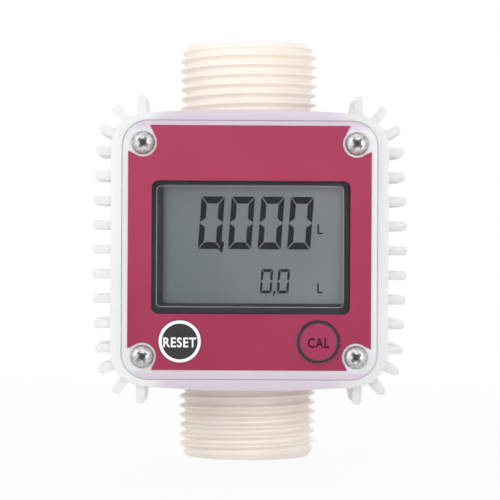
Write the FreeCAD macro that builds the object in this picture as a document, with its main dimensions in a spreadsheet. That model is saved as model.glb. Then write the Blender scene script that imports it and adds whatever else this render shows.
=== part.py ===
# Turbine flow meter with a finned protective boot, as a parametric FreeCAD document.
#
# +Z is the flow axis, the face looks along -Y and +X is to the right. The origin is the centre of
# the inlet end face. Each body is drawn about the middle of the pipe and lifted by its Placement.
# Depths are "forward" distances from the flow axis towards the face, so forward = -Y.
import FreeCAD, Part
import os
import re

import Sketcher
from FreeCAD import Vector

SIZES = {
    # pipe with a G1 parallel thread on both spigots
    "body_length": 100.0,
    "barrel_radius": 17.5,
    "barrel_half": 32.0,
    "thread_radius": 16.6245,
    "end_chamfer": 1.3,
    "seat_radius": 12.5,
    "throat_radius": 11.6,
    "throat_half": 10.0,
    # electronics case, open at the front
    "case_width": 58.6,
    "case_height": 59.3,
    "case_corner": 6.0,
    "case_front": 33.5,
    "case_back": 5.0,
    "case_wall": 2.2,
    "chamber_back": 7.2,
    "boss_radius": 3.9,
    "boss_back": 20.2,
    "post_width": 4.4,
    "post_across": 9.0,
    "post_up": 24.6,
    "rib_thickness": 2.2,
    "rib_spacing": 19.0,
    "rib_reach": 25.5,
    "rib_embed": 1.0,
    "rib_top_in": 4.0,
    "rib_top_sink": 6.0,
    # front cover, its screws, seal and label
    "cover_thickness": 2.0,
    "screw_across": 24.45,
    "screw_radius": 1.5,
    "screw_clearance": 0.2,
    "screw_length": 13.0,
    "screw_spare": 0.5,
    "press_ease": 0.02,
    "head_radius": 2.7,
    "head_height": 1.8,
    "gasket_inset": 0.7,
    "gasket_width": 0.9,
    "gasket_depth": 0.9,
    "label_width": 55.7,
    "label_height": 56.0,
    "label_up": 0.5,
    "label_thickness": 0.3,
    "notch_radius": 3.2,
    "notch_cut": 5.0,
    "notch_side": 3.1,
    "notch_rise": 0.8,
    "notch_flare": 1.1,
    "window_width": 45.5,
    "window_height": 30.5,
    "window_across": 0.3,
    "window_up": 0.6,
    "window_corner": 1.6,
    # display
    "glass_width": 41.6,
    "glass_height": 27.3,
    "glass_across": 1.0,
    "glass_up": 1.35,
    "glass_corner": 0.8,
    "holder_width": 49.5,
    "holder_height": 34.5,
    "holder_front": 33.4,
    "holder_lip": 1.2,
    "holder_corner": 1.6,
    "holder_hollow": 1.0,
    "panel_width": 46.0,
    "panel_height": 31.0,
    "panel_thickness": 2.8,
    "panel_clearance": 0.3,
    "strip_width": 2.2,
    "strip_up": 13.9,
    # circuit board
    "board_width": 53.4,
    "board_height": 54.0,
    "board_back": 24.5,
    "board_thickness": 1.6,
    "board_notch": 4.4,
    # keys and their switches
    "key_across": 15.85,
    "key_down": 20.95,
    "key_radius": 4.85,
    "key_lift": 0.45,
    "key_cap": 0.45,
    "key_stem": 2.4,
    "key_flange": 6.4,
    "flange_depth": 1.1,
    "key_play": 0.05,
    "key_clearance": 0.1,
    "stem_clearance": 0.15,
    "key_plunger": 1.5,
    "switch_width": 6.0,
    "switch_height": 3.5,
    "actuator_radius": 1.7,
    "actuator_rise": 0.8,
    "actuator_sink": 2.0,
    "actuator_clearance": 0.05,
    # electronics under the board
    "chip_width": 10.0,
    "chip_height": 1.6,
    "chip_across": 8.0,
    "crystal_length": 8.0,
    "crystal_width": 3.4,
    "crystal_height": 2.4,
    "crystal_corner": 1.6,
    "crystal_up": 18.0,
    "reed_radius": 1.15,
    "reed_half": 7.0,
    "reed_gap": 1.7,
    "lead_width": 0.5,
    "lead_length": 4.0,
    "lead_embed": 1.0,
    "lead_bend": 2.5,
    # power
    "cell_radius": 5.25,
    "cell_length": 44.5,
    "cell_nub": 0.8,
    "cell_nub_radius": 1.9,
    "cell_across": 19.4,
    "cell_forward": 13.3,
    "tray_half_width": 6.2,
    "tray_gap": 0.2,
    "tray_half_length": 26.6,
    "tray_end": 1.2,
    "tray_front": 19.6,
    "tray_ease": 0.05,
    "contact_thickness": 0.35,
    "contact_half": 4.5,
    "contact_tip": 1.2,
    "contact_spring": 1.2,
    "contact_width": 5.0,
    # turbine
    "hub_radius": 4.2,
    "hub_half": 7.0,
    "blade_tip": 11.2,
    "blade_half": 4.8,
    "blade_twist": 46.0,
    "blade_root_thickness": 1.3,
    "blade_tip_thickness": 0.8,
    "blade_count": 5,
    "blade_embed": 0.8,
    "shaft_radius": 1.0,
    "shaft_half": 10.2,
    "shaft_play": 0.2,
    "bearing_radius": 2.2,
    "bearing_clearance": 0.04,
    "bearing_front": 7.6,
    "bearing_back": 11.4,
    "magnet_radius": 1.1,
    "magnet_orbit": 2.7,
    "magnet_length": 2.5,
    "guide_length": 12.0,
    "guide_nose": 6.2,
    "nose_start": 4.0,
    "nose_flat": 1.1,
    "vane_thickness": 1.1,
    "vane_length": 7.5,
    "vane_gap": 0.02,
    "vane_root": 1.4,
    "inlet_vanes": 6,
    "outlet_vanes": 4,
    # protective boot
    "boot_gap": 0.05,
    "boot_wall": 2.45,
    "boot_front": 35.8,
    "boot_back": 2.6,
    "boot_hook": 2.4,
    "boot_corner": 8.2,
    "boot_bow": 0.8,
    "fin_pitch": 5.65,
    "fin_thickness": 2.07,
    "fin_reach": 4.2,
    "fin_bow": 0.8,
    "fin_front": 34.9,
    "fin_shoulder": 24.0,
    "fin_back": 8.0,
    "fin_bevel": 0.55,
    "fin_foot": 0.4,
    "fin_embed": 1.0,
    "relief_over": 0.2,
    "boot_crest": 9.0,
    "fan_reach": 6.1,
    "low_fin_angle": 20.0,
    "low_fin_in": 3.2,
    "low_fin_up": 25.7,
    "mid_fin_angle": 52.0,
    "mid_fin_in": 4.7,
    "mid_fin_up": 27.9,
    "top_fin_angle": 90.0,
    "top_fin_across": 24.8,
    "top_fin_in": 3.0,
}
FUNCTIONS = {"sin", "cos", "abs"}
CORNERS = [(side, level) for side in (-1, 1) for level in (-1, 1)]

doc = FreeCAD.newDocument("turbine_flow_meter")
sheet = doc.addObject("Spreadsheet::Sheet", "Sizes")
for row, (alias, amount) in enumerate(SIZES.items(), start=1):
    sheet.set(f"A{row}", alias)
    sheet.set(f"B{row}", str(amount))
    sheet.setAlias(f"B{row}", alias)
doc.recompute()


def linked(formula):
    """Turn a formula of sheet names into an expression on the sheet's cells."""
    return re.sub(
        r"[a-z][a-z_]*",
        lambda word: word[0] if word[0] in FUNCTIONS else "Sizes." + word[0],
        str(formula),
    )


def measure(formula):
    """Return a formula's present size in millimetres or degrees."""
    return float(sheet.evalExpression(linked(formula)))


def bind(thing, **formulas):
    """Bind an object's properties to formulas; a double underscore stands for a dot."""
    for name, formula in formulas.items():
        thing.setExpression(name.replace("__", "."), linked(formula))


def new_body(label, across=0, forward=0):
    """Start a sub-part whose own origin lies on the pipe's mid-plane."""
    body = doc.addObject("PartDesign::Body", label)
    body.Label = label
    bind(
        body,
        Placement__Base__x=across,
        Placement__Base__y=f"-1 * ({forward})",
        Placement__Base__z="body_length / 2",
    )
    return body


def origin_plane(body, role):
    """Find one of the body's own origin planes or axes."""
    return next(feature for feature in body.Origin.OriginFeatures if feature.Role == role)


class Drawing:
    """A sketch on an origin plane of its body, with every point and radius bound to the sheet."""

    def __init__(self, body, plane="XZ_Plane", offset=0, turn=0):
        self.body = body
        self.sketch = body.newObject("Sketcher::SketchObject", body.Label + "_sketch")
        self.sketch.AttachmentSupport = [(origin_plane(body, plane), "")]
        self.sketch.MapMode = "FlatFace"
        bind(self.sketch, AttachmentOffset__Base__z=offset)
        if turn:
            bind(self.sketch, AttachmentOffset__Rotation__Angle=turn)
        self.edges = []
        self.constraints = []
        self.formulas = {}

    def fix(self, kind, formula, *place):
        """Note one dimension that follows its formula."""
        self.formulas[len(self.constraints)] = linked(formula)
        self.constraints.append(Sketcher.Constraint(kind, *place, measure(formula)))

    def pin(self, edge, point, across, up):
        """Tie one point of an edge to its place from the sketch's origin."""
        self.fix("DistanceX", across, -1, 1, edge, point)
        self.fix("DistanceY", up, -1, 1, edge, point)

    def circle(self, across, up, radius):
        """Draw a circle by its centre and radius."""
        centre = Vector(measure(across), measure(up), 0)
        edge = len(self.edges)
        self.edges.append(Part.Circle(centre, Vector(0, 0, 1), measure(radius)))
        self.pin(edge, 3, across, up)
        self.fix("Radius", radius, edge)
        return self

    def outline(self, points, arcs=None):
        """Draw a closed outline; arcs maps an edge's number to its radius, minus for hollow ones."""
        arcs = arcs or {}
        first = len(self.edges)
        corners = [Vector(measure(across), measure(up), 0) for across, up in points]
        for number, start in enumerate(corners):
            end = corners[(number + 1) % len(corners)]
            if number in arcs:
                bend = measure(arcs[number])
                chord = end - start
                half = chord.Length / 2
                rise = abs(bend) - (bend * bend - half * half) ** 0.5
                outward = Vector(chord.y, -chord.x, 0).normalize() * (rise if bend > 0 else -rise)
                first_end, last_end = (start, end) if bend > 0 else (end, start)
                self.edges.append(Part.ArcOfCircle(first_end, (start + end) / 2 + outward, last_end))
                self.fix("Radius", f"abs({arcs[number]})", first + number)
            else:
                self.edges.append(Part.LineSegment(start, end))
        for number, (across, up) in enumerate(points):
            before = first + (number - 1) % len(points)
            here = first + number
            near, far = self.end_at(here, corners[number]), self.end_at(before, corners[number])
            self.constraints.append(Sketcher.Constraint("Coincident", before, far, here, near))
            self.pin(here, near, across, up)
        return self

    def end_at(self, edge, corner):
        """Tell which end of an edge lies at a corner, as the sketch's point number."""
        return 1 if (self.edges[edge].StartPoint - corner).Length < 1e-6 else 2

    def box(self, across, up, width, height, corner=None):
        """Draw a rectangle about its middle, with rounded corners where a radius is given."""
        left, right = f"{across} - ({width}) / 2", f"{across} + ({width}) / 2"
        low, high = f"{up} - ({height}) / 2", f"{up} + ({height}) / 2"
        if corner is None:
            return self.outline([(left, low), (right, low), (right, high), (left, high)])
        points = [
            (f"{left} + ({corner})", low),
            (f"{right} - ({corner})", low),
            (right, f"{low} + ({corner})"),
            (right, f"{high} - ({corner})"),
            (f"{right} - ({corner})", high),
            (f"{left} + ({corner})", high),
            (left, f"{high} - ({corner})"),
            (left, f"{low} + ({corner})"),
        ]
        return self.outline(points, {1: corner, 3: corner, 5: corner, 7: corner})

    def write(self):
        """Put the edges and their dimensions into the sketch in one step."""
        self.sketch.addGeometry(self.edges, False)
        self.sketch.addConstraint(self.constraints)
        for index, formula in self.formulas.items():
            self.sketch.setExpression(f"Constraints[{index}]", formula)
        return self.sketch

    def feature(self, kind, **settings):
        """Write the sketch out and make a solid feature from it."""
        self.write()
        made = self.body.newObject("PartDesign::" + kind, self.body.Label + "_" + kind.lower())
        made.Profile = self.sketch
        for name, setting in settings.items():
            setattr(made, name, setting)
        return made

    def pad(self, length, both=False):
        """Raise the sketch along its normal, or by half to each side."""
        made = self.feature("Pad", SideType="Symmetric" if both else "One side")
        bind(made, Length=length)
        return made

    def pocket(self, length, both=False):
        """Sink the sketch against its normal, or by half to each side."""
        made = self.feature("Pocket", SideType="Symmetric" if both else "One side")
        bind(made, Length=length)
        return made

    def spin(self, cut=False):
        """Turn the sketch about its own vertical axis, as a solid or as a cut."""
        return self.feature("Groove" if cut else "Revolution", ReferenceAxis=(self.sketch, ["V_Axis"]))


def repeat_round(body, feature, count):
    """Repeat a feature round the flow axis."""
    pattern = body.newObject("PartDesign::PolarPattern", body.Label + "_pattern")
    pattern.Originals = [feature]
    pattern.Axis = (origin_plane(body, "Z_Axis"), [""])
    pattern.Angle = 360
    bind(pattern, Occurrences=count)
    body.Tip = pattern
    return pattern


def stack(body, across, up, steps):
    """Build a column of coaxial discs that points forward; each step is radius, back and front."""
    for radius, back, front in steps:
        Drawing(body, offset=back).circle(across, up, radius).pad(f"({front}) - ({back})")


def clear_barrel(body, gap):
    """Cut away what would lie inside the pipe's barrel."""
    radius = f"barrel_radius + {gap}"
    height = "barrel_half + 10"
    Drawing(body).outline(
        [("0", f"-1 * ({height})"), (radius, f"-1 * ({height})"), (radius, height), ("0", height)]
    ).spin(cut=True)


def meter_body():
    """The one-piece moulding: pipe with two spigots, electronics case and stiffening ribs."""
    body = new_body("meter_body")
    Drawing(body, offset="case_back").box(
        0, 0, "case_width", "case_height", "case_corner"
    ).pad("case_front - case_back")
    Drawing(body, offset="case_front").box(
        0, 0, "case_width - 2 * case_wall", "case_height - 2 * case_wall", "case_corner - case_wall"
    ).pocket("case_front - chamber_back")
    bosses = Drawing(body, offset="boss_back")
    for side, level in CORNERS:
        bosses.circle(f"{side} * screw_across", f"{level} * screw_across", "boss_radius")
    bosses.pad("case_front - boss_back")
    posts = Drawing(body, offset="chamber_back")
    for side, level in CORNERS:
        posts.box(f"{side} * post_across", f"{level} * post_up", "post_width", "post_width")
    posts.pad("board_back - chamber_back")
    for level in (-1, 0, 1):
        rib = Drawing(body, "XY_Plane", f"{level} * rib_spacing")
        rib.outline(
            [
                ("-1 * rib_reach", "-1 * case_back - rib_embed"),
                ("rib_reach", "-1 * case_back - rib_embed"),
                ("rib_reach", "-1 * case_back + rib_embed"),
                ("barrel_radius - rib_top_in", "barrel_radius - rib_top_sink"),
                ("-1 * barrel_radius + rib_top_in", "barrel_radius - rib_top_sink"),
                ("-1 * rib_reach", "-1 * case_back + rib_embed"),
            ]
        ).pad("rib_thickness", both=True)
    end = "body_length / 2"
    half = [
        ("thread_radius", "barrel_half"),
        ("thread_radius", f"{end} - end_chamfer"),
        ("thread_radius - end_chamfer", end),
        ("0", end),
    ]
    lower = [(radius, f"-1 * ({up})") for radius, up in reversed(half)]
    barrel = [("barrel_radius", "-1 * barrel_half"), ("barrel_radius", "barrel_half")]
    Drawing(body).outline(lower + barrel + half).spin()
    half_bore = [
        ("throat_radius", "throat_half"),
        ("seat_radius", "throat_half"),
        ("seat_radius", end),
        ("0", end),
    ]
    lower_bore = [(radius, f"-1 * ({up})") for radius, up in reversed(half_bore)]
    Drawing(body).outline(lower_bore + half_bore).spin(cut=True)
    holes = Drawing(body, offset="case_front")
    for side, level in CORNERS:
        holes.circle(f"{side} * screw_across", f"{level} * screw_across", "screw_radius + press_ease")
    holes.pocket("screw_length - cover_thickness + screw_spare")
    groove = Drawing(body, offset="case_front")
    gasket_outline(groove, 0)
    groove.pocket("gasket_depth")
    return body


def gasket_outline(drawing, ease):
    """Draw the seal's track round the case rim, drawn in by an ease on each edge."""
    for inset in (f"gasket_inset + {ease}", f"gasket_inset + gasket_width - {ease}"):
        drawing.box(
            0,
            0,
            f"case_width - 2 * ({inset})",
            f"case_height - 2 * ({inset})",
            f"case_corner - ({inset})",
        )


def boot():
    """The soft moulding: a sleeve hooked behind the case, with straight and corner fins."""
    body = new_body("protective_boot")
    wide = "case_width / 2 + boot_gap + boot_wall"
    tall = "case_height / 2 + boot_gap + boot_wall"
    edge = f"{wide} - boot_corner"
    rise = f"{tall} - boot_bow - boot_corner"
    shell = Drawing(body, offset="boot_back")
    shell.outline(
        [
            (f"-1 * ({edge})", f"-1 * ({rise} + boot_corner)"),
            ("-1 * boot_crest", f"-1 * ({tall})"),
            ("boot_crest", f"-1 * ({tall})"),
            (edge, f"-1 * ({rise} + boot_corner)"),
            (wide, f"-1 * ({rise})"),
            (wide, rise),
            (edge, f"{rise} + boot_corner"),
            ("boot_crest", tall),
            ("-1 * boot_crest", tall),
            (f"-1 * ({edge})", f"{rise} + boot_corner"),
            (f"-1 * ({wide})", rise),
            (f"-1 * ({wide})", f"-1 * ({rise})"),
        ],
        {3: "boot_corner", 5: "boot_corner", 9: "boot_corner", 11: "boot_corner"},
    )
    shell.pad("boot_front - boot_back")
    for side in (-1, 1):
        row = Drawing(body, offset="fin_back")
        for number in range(-4, 5):
            side_fin(row, side, number, wide)
        row.pad("fin_front - fin_back")
    for side, level in CORNERS:
        fan = Drawing(body, offset="fin_back")
        corner_fin(fan, side, level, "low_fin_angle", f"{wide} - low_fin_in", "low_fin_up")
        corner_fin(fan, side, level, "mid_fin_angle", f"{wide} - mid_fin_in", "mid_fin_up")
        corner_fin(fan, side, level, "top_fin_angle", "top_fin_across", f"{tall} - top_fin_in")
        fan.pad("fin_front - fin_back")
    sides = Drawing(body, "XY_Plane")
    ends = Drawing(body, "YZ_Plane")
    for side in (-1, 1):
        rear_relief(sides, side, wide, False)
        rear_relief(ends, side, tall, True)
    sides.pocket("body_length", both=True)
    ends.pocket("body_length", both=True)
    Drawing(body, offset="boot_front").box(
        0, 0, "case_width + 2 * boot_gap", "case_height + 2 * boot_gap", "case_corner + boot_gap"
    ).pocket("boot_front - case_back + boot_gap")
    Drawing(body, offset="case_back").box(
        0, 0, "case_width - 2 * boot_hook", "case_height - 2 * boot_hook", "case_corner - boot_hook"
    ).pocket("case_back")
    clear_barrel(body, "boot_gap")
    return body


def side_fin(drawing, side, number, root):
    """Draw one straight fin of the row; the middle one reaches furthest."""
    tip = f"{root} + fin_reach - fin_bow * {number * number / 16}"
    level = f"{number} * fin_pitch"
    half = "fin_thickness / 2"
    points = [
        (f"{root} - fin_embed", f"{level} - {half}"),
        (f"{tip} - fin_bevel", f"{level} - {half}"),
        (tip, f"{level} - {half} + fin_bevel"),
        (tip, f"{level} + {half} - fin_bevel"),
        (f"{tip} - fin_bevel", f"{level} + {half}"),
        (f"{root} - fin_embed", f"{level} + {half}"),
    ]
    if side > 0:
        drawing.outline(points)
    else:
        drawing.outline([(f"-1 * ({across})", up) for across, up in reversed(points)])


def corner_fin(drawing, side, level, angle, across, up):
    """Draw one fin of a corner's fan from its root point outwards at an angle."""
    half = "fin_thickness / 2"
    steps = [
        ("0", f"-1 * {half}"),
        ("fan_reach - fin_bevel", f"-1 * {half}"),
        ("fan_reach", f"-1 * {half} + fin_bevel"),
        ("fan_reach", f"{half} - fin_bevel"),
        ("fan_reach - fin_bevel", half),
        ("0", half),
    ]
    points = [
        (
            f"{side} * ({across} + ({along}) * cos({angle}) - ({sideways}) * sin({angle}))",
            f"{level} * ({up} + ({along}) * sin({angle}) + ({sideways}) * cos({angle}))",
        )
        for along, sideways in steps
    ]
    if side * level < 0:
        points.reverse()
    drawing.outline(points)


def rear_relief(drawing, side, root, upright):
    """Draw the waste behind the fins, so that they sweep down to the wall at the back."""
    far = f"{root} + 2 * fin_reach"
    behind = "fin_foot - fin_back"
    points = [
        (root, behind),
        (root, "-1 * fin_back - fin_foot"),
        (f"{root} + fin_reach + relief_over", "-1 * fin_shoulder"),
        (far, "-1 * fin_shoulder"),
        (far, behind),
    ]
    points = [(f"{side} * ({out})", back) for out, back in points]
    if upright:
        points = [(back, out) for out, back in points]
    if (side > 0) == upright:
        points.reverse()
    drawing.outline(points)


def cover_parts():
    """The clear front cover with its seal, screws and label film."""
    cover = new_body("front_cover")
    plate = Drawing(cover, offset="case_front")
    plate.box(0, 0, "case_width", "case_height", "case_corner")
    for side, level in CORNERS:
        plate.circle(
            f"{side} * screw_across", f"{level} * screw_across", "screw_radius + screw_clearance"
        )
    for side in (-1, 1):
        plate.circle(f"{side} * key_across", "-1 * key_down", "key_stem + stem_clearance")
    plate.pad("cover_thickness")

    gasket = new_body("cover_gasket")
    seal = Drawing(gasket, offset="case_front - gasket_depth")
    gasket_outline(seal, "press_ease")
    seal.pad("gasket_depth")

    screws = new_body("cover_screws")
    face = "case_front + cover_thickness"
    for radius, back, front in (
        ("screw_radius", f"{face} - screw_length", face),
        ("head_radius", face, f"{face} + head_height"),
    ):
        discs = Drawing(screws, offset=back)
        for side, level in CORNERS:
            discs.circle(f"{side} * screw_across", f"{level} * screw_across", radius)
        discs.pad(f"({front}) - ({back})")

    label = new_body("face_label")
    film = Drawing(label, offset=face)
    film.box(0, "label_up", "label_width", "label_height")
    film.box("window_across", "window_up", "window_width", "window_height", "window_corner")
    for side in (-1, 1):
        film.circle(f"{side} * key_across", "-1 * key_down", "key_radius + key_clearance")
    film.pad("label_thickness")
    round_notches = Drawing(label, offset=f"{face} + label_thickness")
    corner_cuts = Drawing(label, offset=f"{face} + label_thickness")
    for side, level in CORNERS:
        across, up = f"{side} * screw_across", f"{level} * screw_across"
        round_notches.circle(across, up, "notch_radius")
        cut = [
            ("0", "0"),
            ("notch_rise", "-1 * notch_side"),
            ("notch_cut", "-1 * notch_flare"),
            ("notch_cut", "notch_cut"),
            ("-1 * notch_flare", "notch_cut"),
            ("-1 * notch_side", "notch_rise"),
        ]
        cut = [(f"{across} + {side} * ({x})", f"{up} + {level} * ({y})") for x, y in cut]
        corner_cuts.outline(cut if side * level > 0 else cut[::-1])
    round_notches.pocket("label_thickness")
    corner_cuts.pocket("label_thickness")


def key(name, side):
    """One push key with its stem, the switch that it works and the switch's actuator."""
    across, up = f"{side} * key_across", "-1 * key_down"
    face = "case_front + cover_thickness"
    board = "board_back + board_thickness"
    actuator_top = f"{board} + switch_height + actuator_rise"
    cap = new_body(f"{name}_key")
    flange_back, flange_front = "case_front - flange_depth", "case_front - key_play"
    Drawing(cap, offset=flange_back).box(across, up, "key_flange", "key_flange").pad(
        f"{flange_front} - ({flange_back})"
    )
    stack(
        cap,
        across,
        up,
        [
            ("key_plunger", actuator_top, flange_back),
            ("key_stem", flange_front, f"{face} + key_lift"),
            ("key_radius", f"{face} + key_lift", f"{face} + key_lift + key_cap"),
        ],
    )
    actuator = new_body(f"{name}_actuator")
    stack(actuator, across, up, [("actuator_radius", f"{actuator_top} - actuator_sink", actuator_top)])
    switch = new_body(f"{name}_switch")
    Drawing(switch, offset=board).box(across, up, "switch_width", "switch_width").pad("switch_height")
    Drawing(switch, offset=f"{board} + switch_height").circle(
        across, up, "actuator_radius + actuator_clearance"
    ).pocket("actuator_sink")


def display():
    """The display panel, its black holder and the two strips that join it to the board."""
    board = "board_back + board_thickness"
    holder = new_body("display_holder")
    Drawing(holder, offset=board).box(
        "glass_across", "glass_up", "holder_width", "holder_height", "holder_corner"
    ).pad(f"holder_front - ({board})")
    Drawing(holder, offset="holder_front - holder_lip").box(
        "glass_across", "glass_up", "panel_width + panel_clearance", "panel_height + panel_clearance"
    ).pocket(f"holder_front - holder_lip - ({board})")
    Drawing(holder, offset="holder_front").box(
        "glass_across", "glass_up", "glass_width", "glass_height", "glass_corner"
    ).pocket("holder_lip + holder_hollow")
    panel = new_body("display_panel")
    back = "holder_front - holder_lip - panel_thickness"
    Drawing(panel, offset=back).box(
        "glass_across", "glass_up", "panel_width", "panel_height"
    ).pad("panel_thickness")
    for name, level in (("upper", 1), ("lower", -1)):
        strip = new_body(f"{name}_contact_strip")
        Drawing(strip, offset=board).box(
            "glass_across", f"glass_up + {level} * strip_up", "panel_width - 2", "strip_width"
        ).pad(f"{back} - ({board})")


def electronics():
    """The circuit board with its chip, crystal and magnet-sensing reed switch."""
    board = new_body("circuit_board")
    outline = Drawing(board, offset="board_back")
    wide, tall = "board_width / 2", "board_height / 2"
    points = []
    for side, level in ((-1, -1), (1, -1), (1, 1), (-1, 1)):
        near = (f"{side} * ({wide} - 2 * board_notch)", f"{level} * {tall}")
        inner = (f"{side} * ({wide} - 2 * board_notch)", f"{level} * ({tall} - 2 * board_notch)")
        last = (f"{side} * {wide}", f"{level} * ({tall} - 2 * board_notch)")
        points += [last, inner, near] if side * level > 0 else [near, inner, last]
    outline.outline(points)
    outline.pad("board_thickness")

    chip = new_body("controller_chip")
    Drawing(chip, offset="board_back - chip_height").box(
        "chip_across", 0, "chip_width", "chip_width"
    ).pad("chip_height")
    crystal = new_body("clock_crystal")
    Drawing(crystal, offset="board_back - crystal_height").box(
        0, "crystal_up", "crystal_length", "crystal_width", "crystal_corner"
    ).pad("crystal_height")

    reed = new_body("reed_switch")
    glass = "barrel_radius + reed_gap"
    Drawing(reed, "XY_Plane").circle(0, f"-1 * ({glass})", "reed_radius").pad("2 * reed_half", both=True)
    for level in (-1, 1):
        lead = Drawing(reed, "XY_Plane", f"{level} * (reed_half - lead_embed + lead_length / 2)")
        lead.box(0, f"-1 * ({glass})", "lead_width", "lead_width").pad("lead_length", both=True)
        Drawing(reed, offset=f"{glass} - lead_width / 2").box(
            0, f"{level} * (reed_half + lead_bend)", "lead_width", "lead_width"
        ).pad(f"board_back - ({glass}) + lead_width / 2")


def power():
    """Two cells in their trays with the spring contacts."""
    for name, side in (("left", -1), ("right", 1)):
        cell = new_body(f"{name}_cell", f"{side} * cell_across", "cell_forward")
        end = "cell_length / 2"
        Drawing(cell).outline(
            [
                ("0", f"-1 * {end}"),
                ("cell_radius", f"-1 * {end}"),
                ("cell_radius", f"{end} - cell_nub"),
                ("cell_nub_radius", f"{end} - cell_nub"),
                ("cell_nub_radius", end),
                ("0", end),
            ]
        ).spin()
        tray = new_body(f"{name}_cell_tray")
        middle = f"{side} * cell_across"
        inner = "cell_radius + tray_gap"
        Drawing(tray, "XY_Plane").outline(
            [
                (f"{middle} - tray_half_width", "-1 * chamber_back - tray_ease"),
                (f"{middle} - tray_half_width", "-1 * tray_front"),
                (f"{middle} - ({inner})", "-1 * tray_front"),
                (f"{middle} - ({inner})", "-1 * cell_forward"),
                (f"{middle} + ({inner})", "-1 * cell_forward"),
                (f"{middle} + ({inner})", "-1 * tray_front"),
                (f"{middle} + tray_half_width", "-1 * tray_front"),
                (f"{middle} + tray_half_width", "-1 * chamber_back - tray_ease"),
            ],
            {3: f"-1.0001 * ({inner})"},
        ).pad("2 * tray_half_length", both=True)
        for level in (-1, 1):
            Drawing(tray, "XY_Plane", f"{level} * (tray_half_length - tray_end / 2)").box(
                middle,
                "-1 * (tray_front + chamber_back + tray_ease) / 2",
                "2 * tray_half_width",
                "tray_front - chamber_back - tray_ease",
            ).pad("tray_end", both=True)
        clear_barrel(tray, "tray_gap")
    contacts = new_body("cell_contacts")
    for side, level in CORNERS:
        middle = f"{side} * cell_across"
        wall = "tray_half_length - tray_end - press_ease"
        touch = "cell_length / 2 + tray_ease"
        leaf = [
            (f"{middle} - contact_half", wall),
            (f"{middle} - contact_half", f"{wall} - contact_thickness"),
            (f"{middle} - contact_tip", f"{wall} - contact_thickness"),
            (f"{middle} + contact_tip", touch),
            (f"{middle} + contact_half", f"{wall} - contact_spring"),
            (f"{middle} + contact_half", f"{wall} - contact_spring + contact_thickness"),
            (f"{middle} + contact_tip", f"{touch} + 1.2 * contact_thickness"),
            (f"{middle} - contact_tip", wall),
        ]
        leaf = [(across, f"{level} * ({up})") for across, up in leaf]
        if level < 0:
            leaf.reverse()
        Drawing(contacts, offset="cell_forward - contact_width / 2").outline(leaf).pad("contact_width")


def guide(name, level, vanes):
    """A flow guide: a pointed hub that carries a bearing, on vanes that stand in the pipe's seat."""
    body = new_body(name)
    start, end = "throat_half", "throat_half + guide_length"
    hub = [
        ("0", "bearing_back"),
        ("bearing_radius", "bearing_back"),
        ("bearing_radius", "bearing_front"),
        ("hub_radius", "bearing_front"),
        ("hub_radius", f"{end} - nose_start"),
        ("nose_flat", f"{end} - nose_start + guide_nose"),
        ("0", f"{end} - nose_start + guide_nose"),
    ]
    points = [(radius, f"{level} * ({up})") for radius, up in hub]
    if level < 0:
        points.reverse()
    Drawing(body).outline(points).spin()
    vane = Drawing(body, "XY_Plane", f"{level} * ({start} + vane_length / 2 + vane_gap)", f"180 / {vanes}")
    inner, outer = "hub_radius - vane_root", "seat_radius - press_ease"
    vane.box(f"({inner} + {outer}) / 2", 0, f"{outer} - ({inner})", "vane_thickness")
    repeat_round(body, vane.pad("vane_length", both=True), vanes)
    return body


def turbine():
    """The helical-bladed rotor with its shaft, magnets, flow guides and cup bearings."""
    rotor = new_body("turbine_rotor")
    sections = []
    for share in (-0.5, 0.5):
        section = Drawing(
            rotor, "XY_Plane", f"{2 * share} * blade_half", f"{share} * blade_twist"
        )
        section.outline(
            [
                ("hub_radius - blade_embed", "-1 * blade_root_thickness / 2"),
                ("blade_tip", "-1 * blade_tip_thickness / 2"),
                ("blade_tip", "blade_tip_thickness / 2"),
                ("hub_radius - blade_embed", "blade_root_thickness / 2"),
            ]
        )
        sections.append(section.write())
    blade = rotor.newObject("PartDesign::AdditiveLoft", "turbine_blade")
    blade.Profile = sections[0]
    blade.Sections = sections[1:]
    blade.Ruled = True
    repeat_round(rotor, blade, "blade_count")
    Drawing(rotor).outline(
        [
            ("0", "-1 * hub_half"),
            ("hub_radius", "-1 * hub_half"),
            ("hub_radius", "hub_half"),
            ("0", "hub_half"),
        ]
    ).spin()
    Drawing(rotor, "XY_Plane", "hub_half").circle(0, 0, "shaft_radius").pocket("2 * hub_half")
    magnets = new_body("rotor_magnets")
    seats = Drawing(rotor, "XY_Plane", "hub_half")
    discs = Drawing(magnets, "XY_Plane", "hub_half - magnet_length")
    for side in (-1, 1):
        seats.circle(f"{side} * magnet_orbit", 0, "magnet_radius")
        discs.circle(f"{side} * magnet_orbit", 0, "magnet_radius")
    seats.pocket("magnet_length")
    discs.pad("magnet_length")
    shaft = new_body("rotor_shaft")
    Drawing(shaft, "XY_Plane").circle(0, 0, "shaft_radius").pad("2 * shaft_half", both=True)
    for name, level, vanes in (("inlet", -1, "inlet_vanes"), ("outlet", 1, "outlet_vanes")):
        guide(f"{name}_guide", level, vanes)
        bearing = new_body(f"{name}_bearing")
        cup = [
            ("shaft_radius + bearing_clearance", "bearing_front"),
            ("bearing_radius", "bearing_front"),
            ("bearing_radius", "bearing_back"),
            ("0", "bearing_back"),
            ("0", "shaft_half + shaft_play"),
            ("shaft_radius + bearing_clearance", "shaft_half + shaft_play"),
        ]
        cup = [(radius, f"{level} * ({up})") for radius, up in cup]
        if level < 0:
            cup.reverse()
        Drawing(bearing).outline(cup).spin()


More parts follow.
